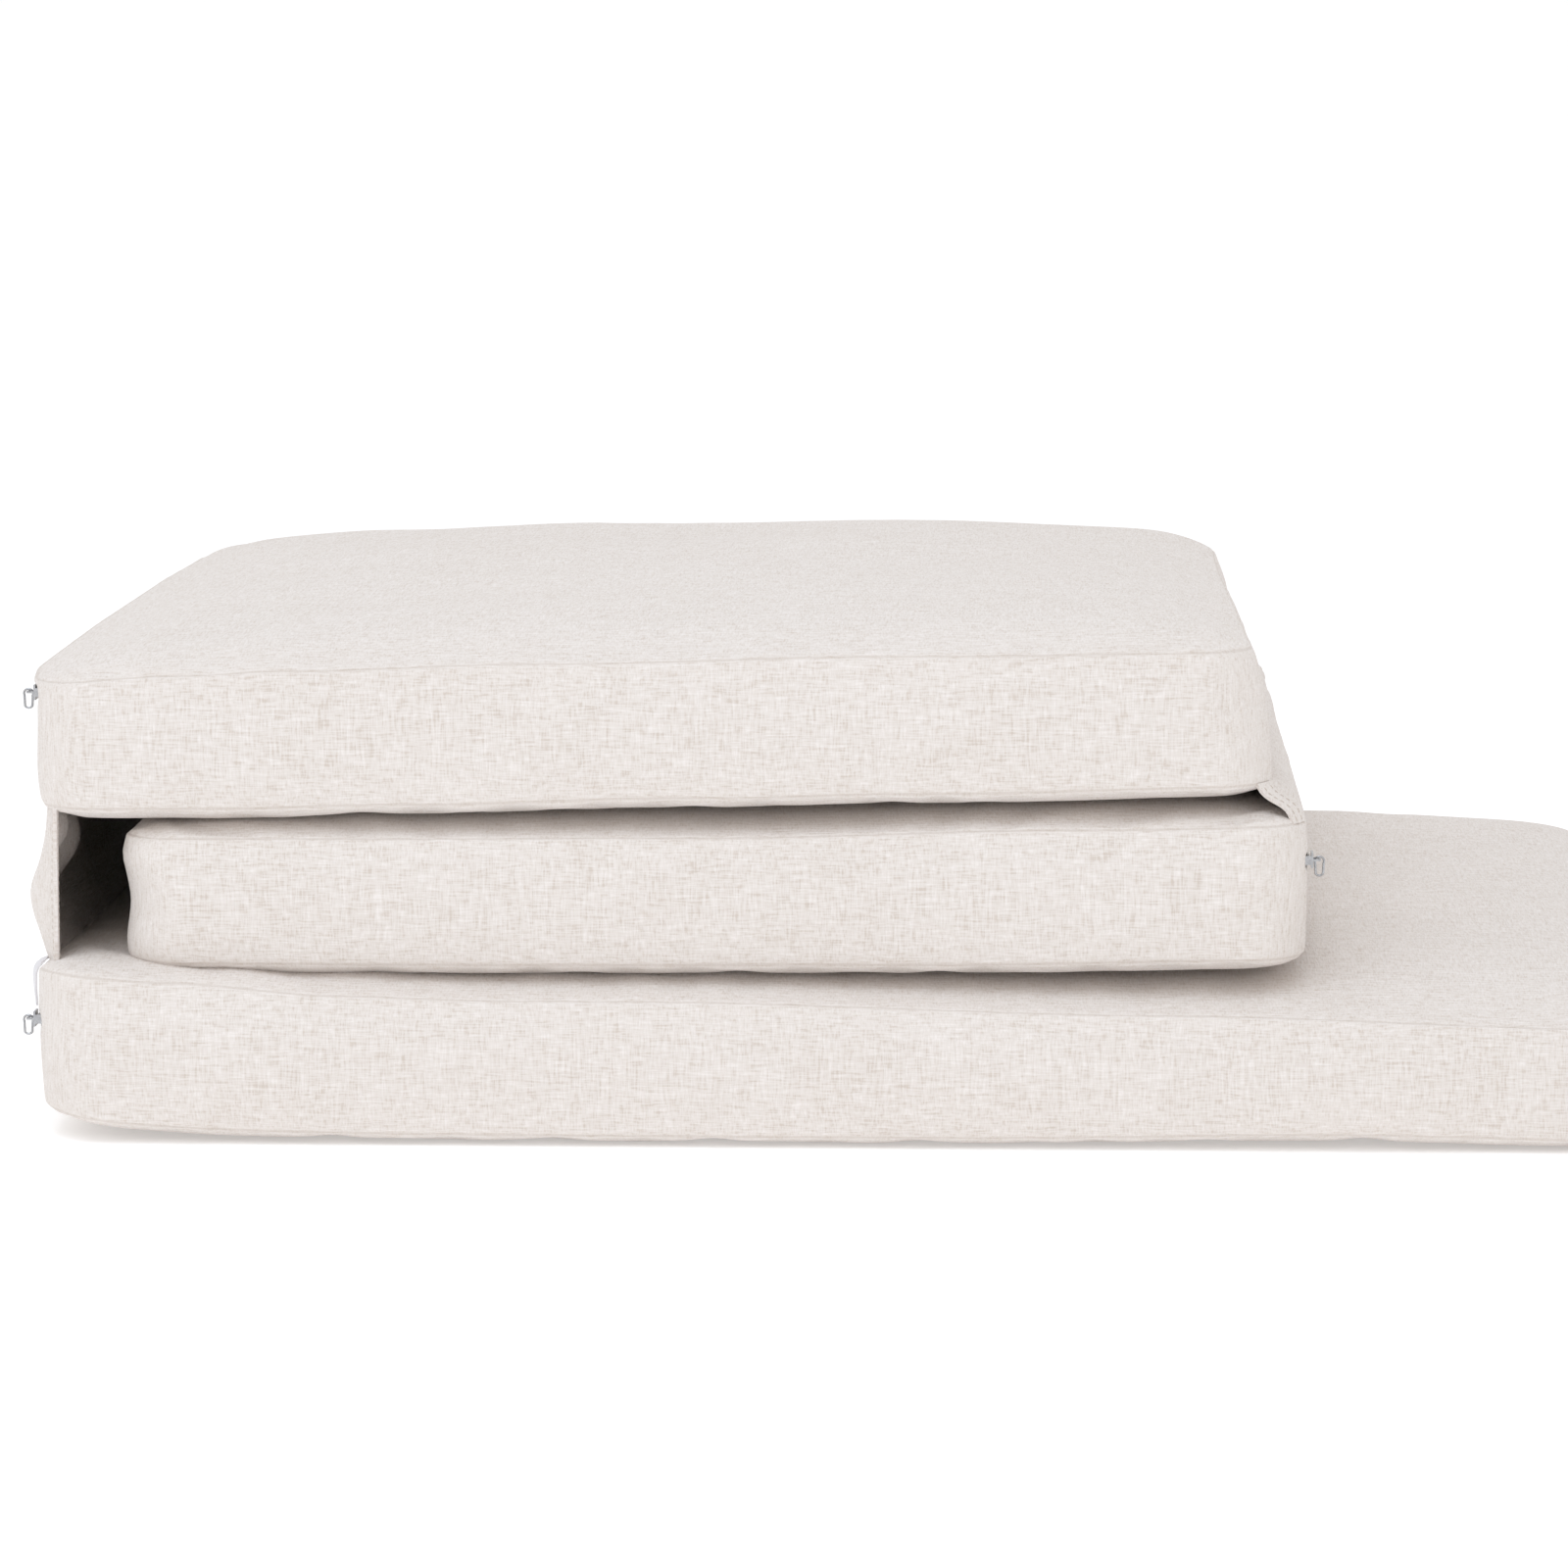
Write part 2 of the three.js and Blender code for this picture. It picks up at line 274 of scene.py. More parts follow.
        faces = []
        for i in range(nx):
            for j in range(ny):
                faces.append([vertex(i, j, nt), vertex(i + 1, j, nt),
                              vertex(i + 1, j + 1, nt), vertex(i, j + 1, nt)])
                faces.append([vertex(i, j, 0), vertex(i, j + 1, 0),
                              vertex(i + 1, j + 1, 0), vertex(i + 1, j, 0)])
        for k in range(nt):
            for i in range(nx):
                faces.append([vertex(i, 0, k), vertex(i + 1, 0, k),
                              vertex(i + 1, 0, k + 1), vertex(i, 0, k + 1)])
                faces.append([vertex(i + 1, ny, k), vertex(i, ny, k),
                              vertex(i, ny, k + 1), vertex(i + 1, ny, k + 1)])
            for j in range(ny):
                faces.append([vertex(nx, j, k), vertex(nx, j + 1, k),
                              vertex(nx, j + 1, k + 1), vertex(nx, j, k + 1)])
                faces.append([vertex(0, j + 1, k), vertex(0, j, k),
                              vertex(0, j, k + 1), vertex(0, j + 1, k + 1)])
        grid, kind = np.array(grid), np.array(kind)
        points = (place or self.surface)(grid[:, 0], grid[:, 1], grid[:, 2], kind)
        made = mesh_object(name, points, faces)
        # the seam attribute marks the seam line, where the linen paints shade into its colour
        on_seam = (kind == 0) & ((grid[:, 2] == 0) | (grid[:, 2] == 1))
        seam = made.data.attributes.new("seam", "FLOAT", "POINT")
        seam.data.foreach_set("value", on_seam.astype(np.float32))
        return made, grid, kind

    def swell_and_sew(self, made, grid, kind):
        """Lets the fabric swell between its seams, then draws the seams in."""
        x, y, t = grid.T
        _, _, depth, nx, ny = self.plan(x, y)
        wall = kind == 0
        from_seam = np.where(wall, np.minimum(t, 1 - t) * self.size[2], depth)
        held = np.exp(-from_seam / HOLD_REACH)
        end = nx if self.zip_side == "right" else -nx
        held = np.where(wall, np.maximum(held, smooth(0.3, 0.95, end)), held)
        underside = (kind < 0) & (depth > UNDERSIDE_FROM)
        held = np.where(underside, np.maximum(held, UNDERSIDE_HOLD), held)
        inflate(made, held)
        points = coordinates(made)
        on_seam = wall & ((t == 0) | (t == 1))
        inward = np.stack([-nx, -ny, np.where(t > 0.5, -1.0, 1.0)], -1)
        points[on_seam] += (inward * SEAM_DEPTH / math.sqrt(2))[on_seam]
        points[:, 2] = np.maximum(points[:, 2], FLOOR_GAP)  # nothing sinks into the floor
        place_points(made, points)


def coordinates(obj):
    """The mesh's points, in millimetres."""
    flat = np.empty(len(obj.data.vertices) * 3)
    obj.data.vertices.foreach_get("co", flat)
    return flat.reshape(-1, 3) / MM


def place_points(obj, points_mm):
    obj.data.vertices.foreach_set("co", (points_mm * MM).ravel())
    obj.data.update()


def inflate(obj, held):
    """A short cloth simulation under pressure from inside, applied to the mesh.

    held is 1 where the fabric stays in place and 0 where it's free.
    """
    before = coordinates(obj)
    group = obj.vertex_groups.new(name="held")
    levels = np.round(np.clip(held, 0, 1) * HOLD_STEPS) / HOLD_STEPS
    for level in np.unique(levels):
        if level > 0:
            group.add(np.nonzero(levels == level)[0].tolist(), float(level), "REPLACE")
    cloth = obj.modifiers.new("cloth", "CLOTH")
    for setting, value in CLOTH.items():
        setattr(cloth.settings, setting, value)
    cloth.settings.vertex_group_mass = group.name
    cloth.settings.effector_weights.gravity = 0
    cloth.collision_settings.use_collision = False
    cloth.point_cache.frame_start = 1
    cloth.point_cache.frame_end = SWELL_FRAMES
    for step in range(1, SWELL_FRAMES + 1):
        bpy.context.scene.frame_set(step)
    apply_modifiers(obj)
    bpy.context.scene.frame_set(1)
    obj.vertex_groups.clear()
    moved = coordinates(obj) - before
    length = np.maximum(np.linalg.norm(moved, axis=1), 1e-9)
    moved *= (MOST_SWELL * np.tanh(length / MOST_SWELL) / length)[:, None]
    place_points(obj, before + moved)


def mesh_object(name, points_mm, faces, smooth_shade=True):
    mesh = bpy.data.meshes.new(name)
    mesh.from_pydata((np.asarray(points_mm) * MM).tolist(), [], faces)
    mesh.validate()
    mesh.update()
    if smooth_shade:
        mesh.polygons.foreach_set("use_smooth", [True] * len(mesh.polygons))
    made = bpy.data.objects.new(name, mesh)
    bpy.context.scene.collection.objects.link(made)
    return made


def apply_modifiers(obj):
    """Replaces the mesh by the evaluated one, so that no modifier is left."""
    graph = bpy.context.evaluated_depsgraph_get()
    fresh = bpy.data.meshes.new_from_object(obj.evaluated_get(graph))
    obj.modifiers.clear()
    old = obj.data
    obj.data = fresh
    bpy.data.meshes.remove(old)
    obj.data.name = obj.name


def subdivide(obj):
    sub = obj.modifiers.new("sub", "SUBSURF")
    sub.levels = sub.render_levels = 1
    apply_modifiers(obj)


# ---------------------------------------------------------------- materials

class Nodes:
    """Small helper to write node trees briefly."""

    def __init__(self, name):
        self.material = bpy.data.materials.new(name)
        self.material.use_nodes = True
        self.tree = self.material.node_tree
        self.shader = self.tree.nodes["Principled BSDF"]
        self.coords = self.tree.nodes.new("ShaderNodeTexCoord")
        self.geometry = self.tree.nodes.new("ShaderNodeNewGeometry")

    def put(self, socket, value):
        if hasattr(value, "is_output"):
            self.tree.links.new(value, socket)
        else:
            socket.default_value = value

    def math(self, operation, a, b=0.0):
        node = self.tree.nodes.new("ShaderNodeMath")
        node.operation = operation
        for socket, value in zip(node.inputs, (a, b)):
            self.put(socket, value)
        return node.outputs[0]

    def scaled(self, x, y, z):
        node = self.tree.nodes.new("ShaderNodeVectorMath")
        node.operation = "MULTIPLY"
        self.tree.links.new(self.coords.outputs["Object"], node.inputs[0])
        node.inputs[1].default_value = (x, y, z)
        return node.outputs[0]

    def noise(self, vector, detail, scale=1.0):
        node = self.tree.nodes.new("ShaderNodeTexNoise")
        node.inputs["Scale"].default_value = scale
        node.inputs["Detail"].default_value = detail
        self.tree.links.new(vector, node.inputs["Vector"])
        return node.outputs["Fac"]

    def facing(self):
        """How much the surface lies across each axis: 1 where a thread along it shows."""
        split = self.tree.nodes.new("ShaderNodeSeparateXYZ")
        self.tree.links.new(self.geometry.outputs["True Normal"], split.inputs[0])
        return [self.math("SUBTRACT", 1.0, self.math("POWER", self.math("ABSOLUTE", s), 1.5))
                for s in split.outputs]

    def mix(self, factor, a, b):
        node = self.tree.nodes.new("ShaderNodeMix")
        node.data_type = "RGBA"
        self.put(node.inputs["Factor"], factor)
        self.put(node.inputs["A"], a)
        self.put(node.inputs["B"], b)
        return node.outputs["Result"]

    def ramp(self, value, low, high):
        node = self.tree.nodes.new("ShaderNodeMapRange")
        node.interpolation_type = "SMOOTHSTEP"
        self.put(node.inputs["Value"], value)
        node.inputs["From Min"].default_value = low
        node.inputs["From Max"].default_value = high
        return node.outputs["Result"]

    def bump(self, height, strength, distance):
        node = self.tree.nodes.new("ShaderNodeBump")
        node.inputs["Strength"].default_value = strength
        node.inputs["Distance"].default_value = distance
        self.tree.links.new(height, node.inputs["Height"])
        self.tree.links.new(node.outputs["Normal"], self.shader.inputs["Normal"])


def srgb(r, g, b):
    """Display values from 0 to 255 to the linear ones that a shader takes."""
    def one(c):
        c /= 255
        return c / 12.92 if c <= 0.04045 else ((c + 0.055) / 1.055) ** 2.4
    return (one(r), one(g), one(b), 1.0)


# each layer of the weave: its share, threads per metre and slubs per metre along a thread
WEAVE = ((0.7, 1250.0, 130.0), (0.3, 700.0, 60.0))
WEAVE_CONTRAST, PATCH_CONTRAST = 1.55, 0.16
PATCHES = 16.0  # per metre
# how far the painted seam shade darkens the linen towards its seam colour
SEAM_SHADE = 0.3


def linen(name, pale, mean, dark, seam_shade_colour):
    """A slub weave: uneven threads along both directions of each face, with painted shade
    darkening the seam grooves.
    """
    n = Nodes(name)
    facing = n.facing()
    total = None
    for share, thread, along in WEAVE:
        runs = ((along, thread, thread), (thread, along, thread), (thread, thread, along))
        for weight, run in zip(facing, runs):
            value = n.math("SUBTRACT", n.noise(n.scaled(*run), 1.5), 0.5)
            part = n.math("MULTIPLY", n.math("MULTIPLY", value, weight), share)
            total = part if total is None else n.math("ADD", total, part)
    patch = n.math("SUBTRACT", n.noise(n.scaled(1, 1, 1), 3.0, PATCHES), 0.5)
    shade = n.math("ADD", n.math("MULTIPLY", total, WEAVE_CONTRAST), 0.5)
    shade = n.math("ADD", shade, n.math("MULTIPLY", patch, PATCH_CONTRAST))
    colour = n.mix(n.ramp(shade, 0.05, 0.55), dark, mean)
    colour = n.mix(n.ramp(shade, 0.5, 0.98), colour, pale)
    # painted shade: the colour is darkened along the seams, standing in for the shadow in their
    # grooves
    seam = n.tree.nodes.new("ShaderNodeAttribute")
    seam.attribute_name = "seam"
    line = n.ramp(seam.outputs["Fac"], 0.25, 0.8)
    colour = n.mix(n.math("MULTIPLY", line, SEAM_SHADE), colour, seam_shade_colour)
    n.tree.links.new(colour, n.shader.inputs["Base Color"])
    rough = n.math("ADD", n.math("MULTIPLY", shade, -0.12), 0.97)
    n.tree.links.new(rough, n.shader.inputs["Roughness"])
    n.bump(shade, 0.6, 0.0005)
    n.shader.inputs["Sheen Weight"].default_value = 0.1
    n.shader.inputs["Specular IOR Level"].default_value = 0.2
    return n.material


def plain(name, colour, grain, roughness, size, bump, metal=0.0):
    """A material with a fine grain, of size per metre, in its colour, roughness and surface."""
    n = Nodes(name)
    speck = n.noise(n.scaled(1, 1, 1), 3.0, size)
    n.tree.links.new(n.mix(speck, colour, grain), n.shader.inputs["Base Color"])
    rough = n.math("ADD", n.math("MULTIPLY", speck, 0.12), roughness - 0.06)
    n.tree.links.new(rough, n.shader.inputs["Roughness"])
    n.shader.inputs["Metallic"].default_value = metal
    n.bump(speck, 0.4, bump)
    return n.material


# the seam colour is painted shade for the seam grooves, not a colour of the cloth
LINEN = linen("linen_cover", pale=srgb(239, 233, 230), mean=srgb(228, 221, 216),
              dark=srgb(211, 200, 191), seam_shade_colour=srgb(186, 172, 160))
FOAM = plain("open_cell_foam", srgb(240, 228, 186), srgb(222, 205, 150), 0.95, 900.0, 0.0006)
WADDING = plain("bonded_wadding", srgb(248, 248, 246), srgb(228, 228, 224), 0.98, 260.0, 0.0010)
TAPE = plain("zip_tape", srgb(232, 226, 219), srgb(206, 198, 188), 0.9, 1600.0, 0.0002)
NYLON = plain("nylon_coil", srgb(228, 224, 218), srgb(198, 192, 184), 0.5, 1800.0, 0.0003)
NICKEL = plain("nickel_plate", srgb(196, 196, 198), srgb(150, 150, 152), 0.28, 700.0, 0.00004,
               metal=1.0)
THREAD = plain("sewing_thread", srgb(222, 212, 203), srgb(186, 172, 160), 0.7, 2600.0, 0.0001)
LABEL = plain("woven_label", srgb(240, 239, 241), srgb(214, 212, 216), 0.8, 2400.0, 0.00015)


def paint(obj, material):
    obj.data.materials.clear()
    obj.data.materials.append(material)


# ---------------------------------------------------------------- the three panels

LEFT, FRONT = mm_box("base_cover_upper")[0][:2]

# The lift functions below say how far a face stands above its CAD plane at a place, in the
# frame. The shift functions say how far the cover leans to the right; they take x from the base
# panel's left end, y from its front and the height in the panel.


def base_low(x, y):
    """The lower left edge curls up off the floor, most at its front end."""
    corner = np.exp(-np.maximum(x - LEFT, 0) / 55) * (0.35 + 0.65 * np.exp(-(y - FRONT) / 140))
    wave = np.exp(-((x - LEFT - 640) / 110) ** 2) * np.exp(-(y - FRONT) / 60)
    return 11.0 * corner + 3.0 * wave


def base_high(x, y):
    """The upper left edge is pulled up by the spine strip; the front edge droops to the right."""
    pulled = curve(((0, 12), (70, 8), (150, 2), (230, 0)), x - LEFT)
    pulled = pulled * (0.45 + 0.55 * np.exp(-(y - FRONT) / 160))
    droop = curve(((300, 0), (560, -5.5), (780, -11)), x - LEFT) * np.exp(-(y - FRONT) / 70)
    corner = smooth(640, 812, x - LEFT) * smooth(540, 690, y - FRONT)
    return pulled + droop - 8.0 * corner


def base_shift(x, y, z):
    """The base panel's lower front corner is tucked in at its left end."""
    return 4.0 * np.exp(-np.maximum(x, 0) / 35) * np.exp(-y / 70) * smooth(45, 0, z)


def edge_share(y, low, high):
    """1 along the front and back edges of a panel, 0 well inside it."""
    return 1 - smooth(15, 150, np.minimum(y - low, high - y))


def contact(x):
    """How far the surface between the two upper panels lies above the CAD one."""
    return curve(((0, -3), (120, -3), (330, 0), (626, 4.5)), x)


def middle_high(x, y):
    """The middle panel's upper face: its front edge follows the gap below the top panel."""
    x = x - LEFT
    front = curve(((40, -3.5), (150, -3), (320, -1.8), (520, 3.3), (626, 5.5)), x)
    return contact(x) + (front - contact(x)) * edge_share(y, FRONT + 16, FRONT + 696)


def middle_low(x, y):
    """The middle panel's right end stands a little off the base panel."""
    return curve(((40, -0.8), (200, -1.0), (430, 0.4), (626, 4)), x - LEFT)


def top_high(x, y):
    """The top panel's upper face: drooped at the left, raised at the right."""
    x = x - LEFT
    front = curve(((0, -8), (70, -3.5), (130, -0.5), (250, 3.5), (430, 8), (605, 10.5)), x)
    back = curve(((0, -7), (120, 0), (250, 4), (430, 6), (560, 3), (605, -1)), x)
    return front + (back - front) * smooth(0, 620, y - FRONT)


def top_low(x, y):
    """The top panel's lower face: its front edge rises to the right."""
    x = x - LEFT
    front = curve(((0, -5), (90, -4.5), (180, -2), (330, 2), (430, 4.5), (605, 9)), x)
    return contact(x) + (front - contact(x)) * edge_share(y, FRONT + 16, FRONT + 696)


def middle_shift(x, y, z):
    """The middle panel's left end is nipped in at mid height and lolls out at the top."""
    near = np.exp(-np.maximum(x - 43, 0) / 30)
    front = 0.3 + 0.7 * np.exp(-(y - 16) / 90)
    nip = 4.2 * np.exp(-((z - 36) / 16) ** 2) - 3.6 * np.exp(-((z - 62) / 9) ** 2)
    right = np.exp(-np.maximum(626 - x, 0) / 30) * np.exp(-(y - 16) / 60)
    return near * front * nip - 2.2 * right


def top_shift(x, y, z):
    """The top panel's left edge lolls outwards above its zip; its right end leans in."""
    loll = smooth(16, 110, y) * (1 - 0.75 * smooth(200, 640, y))
    left = np.exp(-np.maximum(x, 0) / 60) * smooth(62, 73, z) * loll
    back = 7.0 * np.exp(-np.maximum(x, 0) / 70) * smooth(520, 690, y)
    lean = smooth(480, 605, x) * ((12 + 2 * smooth(200, 660, y)) * z / 79 - 5)
    return back * smooth(67, 74, z) - 8.5 * left - lean


PANELS = {
    "base": Panel("base", 11, "left", radius=34, lift_low=base_low, lift_high=base_high,
                  shift=base_shift, crown_high=3.0, seam_low=4.6),
    "middle": Panel("middle", 23, "right", radius=28, lift_low=middle_low,
                    lift_high=middle_high, shift=middle_shift),
    "top": Panel("top", 37, "left", radius=32, lift_low=top_low, lift_high=top_high,
                 shift=top_shift, crown_high=5.0),
}
BODIES = {"base": "base", "middle": "folded_stack", "top": "folded_stack"}
COVER_NODES = ("cover_lower", "cover_upper", "boxing_front", "boxing_back", "boxing_end",
               "zip_strip_lower", "zip_strip_upper")
FILLING_IN = 14  # how far inside the walls the foam and wadding end
FOAM_UNDER = 15  # how far under the faces the foam ends
WADDING_UNDER = (10.0, 14.5)  # where each wadding sheet lies under its face
FILLING_LEVELS = (0, 0.15, 0.5, 0.85, 1.0)


def inner_block(panel, name, low, high, inset, rounding):
    """A soft-edged block inside a panel, between two heights; it follows the panel's slump."""
    size_x, size_y = panel.size[0] - 2 * inset, panel.size[1] - 2 * inset
    cx, cy = panel.centre
    xs, ys = spaced(size_x)[::3], spaced(size_y)[::3]
    xs[-1], ys[-1] = size_x, size_y
    wave = waves(len(name) * 7 + int(inset), 60, 200, 8)

    def place(x, y, t, kind):
        ax, ay, r = size_x / 2, size_y / 2, panel.radius
        u, v = np.abs(x) - (ax - r), np.abs(y) - (ay - r)
        corner = (u > 0) & (v > 0)
        reach, rim = np.maximum(np.hypot(u, v), 1e-9), np.maximum(u, v)
        px = np.where(corner, np.sign(x) * (ax - r + u / reach * rim), x)
        py = np.where(corner, np.sign(y) * (ay - r + v / reach * rim), y)
        inside = np.minimum(ax - np.abs(px), ay - np.abs(py))
        soft = rounding * np.exp(-inside / rounding)
        level = (low + (high - low) * t) / panel.size[2]
        under = np.maximum(panel.lift_low(px + cx, py + cy), 0)
        over = np.minimum(panel.lift_high(px + cx, py + cy), 0)
        z = level * panel.size[2] + under * (1 - level) + over * level
        z = z + np.where(t > 0.5, -soft, soft) * np.abs(2 * t - 1)
        return np.stack([px + cx, py + cy, z + 0.25 * wave(px, py) + panel.low[2]], -1)

    made, _, _ = panel.shell(name, xs - size_x / 2, ys - size_y / 2,
                             np.array(FILLING_LEVELS), place)
    return made


for key, panel in PANELS.items():
    body = BODIES[key]
    cover, grid, kind = panel.shell(f"{key}_cover")
    panel.swell_and_sew(cover, grid, kind)
    subdivide(cover)
    paint(cover, LINEN)
    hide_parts(*(f"{key}_{n}" for n in COVER_NODES))
    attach(cover, body)

    thick = panel.size[2]
    core = inner_block(panel, f"{key}_foam", FOAM_UNDER, thick - FOAM_UNDER, FILLING_IN,
                       rounding=4.0)
    paint(core, FOAM)
    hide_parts(f"{key}_foam_core")
    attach(core, body)
    near, far = WADDING_UNDER
    for part, low, high in (("lower", near, far), ("upper", thick - far, thick - near)):
        sheet = inner_block(panel, f"{key}_wadding_{part}_layer", low, high, FILLING_IN,
                            rounding=1.2)
        paint(sheet, WADDING)
        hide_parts(f"{key}_wadding_{part}")
        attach(sheet, body)
    for node in (f"{key}_zip_slider", f"{key}_zip_pull"):
        paint(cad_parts[node], NICKEL)


# ---------------------------------------------------------------- fabric hinges

HEM = 10.0
HEM_STITCHES = (2.2, 7.6)  # the two rows of stitches, from the hem's edge
HEM_ROWS = (0, 0.5, 1.3, 2.2, 3.1, 4.2, 5.6, 6.7, 7.6, 8.5, 9.3, 10.1, 11, 13, 16, 20)
ROW_STEP = 6.0
CLOTH_THICK, TAPE_THICK, LABEL_THICK = 1.5, 0.7, 0.6
TUCK = 1.2  # how far a strip's edges are tucked into the seams that hold them
STITCH, STITCH_GAP, STITCH_WIDTH = 2.6, 0.9, 0.55


def seam_line(panel, side, upper):
    """The panel's seam along its left (-1) or right (1) end: x and z as functions of y."""
    grid_y = np.linspace(-panel.size[1] / 2, panel.size[1] / 2, 400)
    grid_x = np.full(grid_y.shape, side * panel.size[0] / 2)
    points = panel.surface(grid_x, grid_y, np.full(grid_y.shape, float(upper)),
                           np.zeros(grid_y.shape, int))
    return lambda y: (np.interp(y, points[:, 1], points[:, 0]),
                      np.interp(y, points[:, 1], points[:, 2]))


def ribbon(name, point, ys, vs, thickness, stitched=True):
    """A closed strip of cloth around the surface point(y, v), with a hem at both ends."""
    step = 0.02

    def frame_at(y, v):
        here = np.array(point(y, v))
        along = np.array(point(y + step, v)) - np.array(point(y - step, v))
        up = np.array(point(y, v + step / 10)) - np.array(point(y, v - step / 10))
        out = np.cross(up, along)
        return here, out / np.linalg.norm(out)

    def half_thickness(y):
        inset = min(y - ys[0], ys[-1] - y)
        folded = 1 - smooth(HEM - 0.6, HEM + 0.9, inset)
        dents = sum(math.exp(-((inset - row) / 0.7) ** 2) for row in HEM_STITCHES)
        edge = 0.75 * math.exp(-inset / 0.8)
        return thickness / 2 * (1 + 0.95 * float(folded) - edge) - 0.35 * dents * stitched

    points = []
    for y in ys:
        for v in vs:
            here, out = frame_at(y, v)
            points += [here + out * half_thickness(y), here - out * half_thickness(y)]
    count = len(vs)

    def number(i, j, side):
        return 2 * (i * count + j) + side

    faces = []
    last_i, last_j = len(ys) - 1, count - 1
    for i in range(last_i):
        for j in range(last_j):
            corners = ((i, j), (i + 1, j), (i + 1, j + 1), (i, j + 1))
            faces.append([number(a, b, 0) for a, b in corners][::-1])
            faces.append([number(a, b, 1) for a, b in corners])
        for j, turn in ((0, 1), (last_j, -1)):
            faces.append([number(i, j, 0), number(i + 1, j, 0),
                          number(i + 1, j, 1), number(i, j, 1)][::turn])
    for j in range(last_j):
        for i, turn in ((0, -1), (last_i, 1)):
            faces.append([number(i, j, 0), number(i, j + 1, 0),
                          number(i, j + 1, 1), number(i, j, 1)][::turn])
    cloth_faces = len(faces)
    if stitched:
        ends = [(ys[0], 1), (ys[-1], -1)]
        rows = [start + sign * row for start, sign in ends for row in HEM_STITCHES]
        for y in rows:
            line = [frame_at(y, v) for v in np.linspace(vs[0], vs[-1], 120)]
            add_stitches(points, faces, line, half_thickness(y))
    made = mesh_object(name, points, faces)
    paint(made, LINEN)
    if stitched:
        made.data.materials.append(THREAD)
        made.data.polygons.foreach_set(
            "material_index", [int(n >= cloth_faces) for n in range(len(faces))])
    made.data.set_sharp_from_angle(angle=math.radians(50))
    return made


def add_stitches(points, faces, line, height):
    """Short raised threads along a line of (place, outward) pairs, on both sides of the cloth."""
    places = np.array([p for p, _ in line])
    outs = np.array([o for _, o in line])
    run = np.concatenate([[0], np.cumsum(np.linalg.norm(np.diff(places, axis=0), axis=1))])

    def at(distance):
        return (np.array([np.interp(distance, run, places[:, k]) for k in range(3)]),
                np.array([np.interp(distance, run, outs[:, k]) for k in range(3)]))

    start = STITCH_GAP
    while start + STITCH < run[-1]:
        for side in (1, -1):
            first = len(points)
            rings = ((0.0, 0.25, -0.25), (0.22, 1.0, 0.32), (0.78, 1.0, 0.32), (1.0, 0.25, -0.25))
            for share, girth, rise in rings:
                place, out = at(start + STITCH * share)
                ahead = at(start + STITCH * share + 0.1)[0] - place
                across = np.cross(ahead, out)
                across /= np.linalg.norm(across)
                top = place + out * side * (height + rise * STITCH_WIDTH)
                for turn in range(6):
                    angle = math.pi / 3 * turn
                    points.append(top + STITCH_WIDTH / 2 * girth * (
                        across * math.cos(angle) * side + out * math.sin(angle) * side))
            for ring in range(3):
                a = first + 6 * ring
                for turn in range(6):
                    after = (turn + 1) % 6
                    faces.append([a + turn, a + 6 + turn, a + 6 + after, a + after])
            faces.append([first + turn for turn in range(6)])
            faces.append([first + 18 + turn for turn in range(6)][::-1])
        start += STITCH + STITCH_GAP


def hemmed_rows(low, high):
    """Places along y, closer together in the hems."""
    edge = np.array(HEM_ROWS)
    inner = high - low - 2 * edge[-1]
    count = round(inner / ROW_STEP)
    middle = low + edge[-1] + inner * np.arange(1, count) / count
    return np.concatenate([low + edge, middle, high - edge[::-1]])


# ---------------------------------------------------------------- zips

TOOTH_PITCH = 1.5
COIL_GAP, COIL_END = 0.05, 0.2  # how much smaller than the CAD coil, at its sides and ends
TAPE_WIDTH = 10.0
TAPE_FLAT, TAPE_CURL = 1.0, 3.0  # the flat part beside the coil, then the curl's radius
TAPE_IN_FRONT, TAPE_IN_BACK = 6, 30  # how much shorter than the CAD tape, at each end


def zip_coil(panel, out):
    """Two rows of interlocked teeth, as a closed ribbed bar in the CAD coil's place."""
    low, high = mm_box(f"{panel.name}_zip_coil")
    back, front = (low[0], high[0]) if out > 0 else (high[0], low[0])
    middle = (low[2] + high[2]) / 2
    half = (high[2] - low[2]) / 2 - COIL_GAP
    across = np.linspace(-1, 1, 9)
    ys = np.arange(low[1] + COIL_END, high[1] - COIL_END, TOOTH_PITCH / 4)
    points = []
    for y in ys:
        phase = np.where(across < 0, 0.0, 0.5)
        ridge = np.abs(np.cos(math.pi * (y / TOOTH_PITCH + phase)))
        cleft = 0.35 * np.exp(-(across / 0.12) ** 2)
        dome = np.sqrt(np.clip(1.02 - across ** 2, 0, 1)) * (1 - cleft)
        depth = 0.25 + 0.7 * dome * (0.45 + 0.55 * ridge)
        for a, d in zip(across, depth):
            points.append((back + (front - back) * d, y, middle + half * a))
        points += [(back, y, middle + half), (back, y, middle - half)]
    loop = len(across) + 2
    faces = []
    for i in range(len(ys) - 1):
        for j in range(loop):
            after = (j + 1) % loop
            faces.append([i * loop + j, i * loop + after,
                          (i + 1) * loop + after, (i + 1) * loop + j])
    faces.append(list(range(loop))[::-1])
    faces.append([(len(ys) - 1) * loop + j for j in range(loop)])
    if out < 0:
        faces = [f[::-1] for f in faces]
    made = mesh_object(f"{panel.name}_coil_teeth", points, faces, smooth_shade=False)
    paint(made, NYLON)
    return made


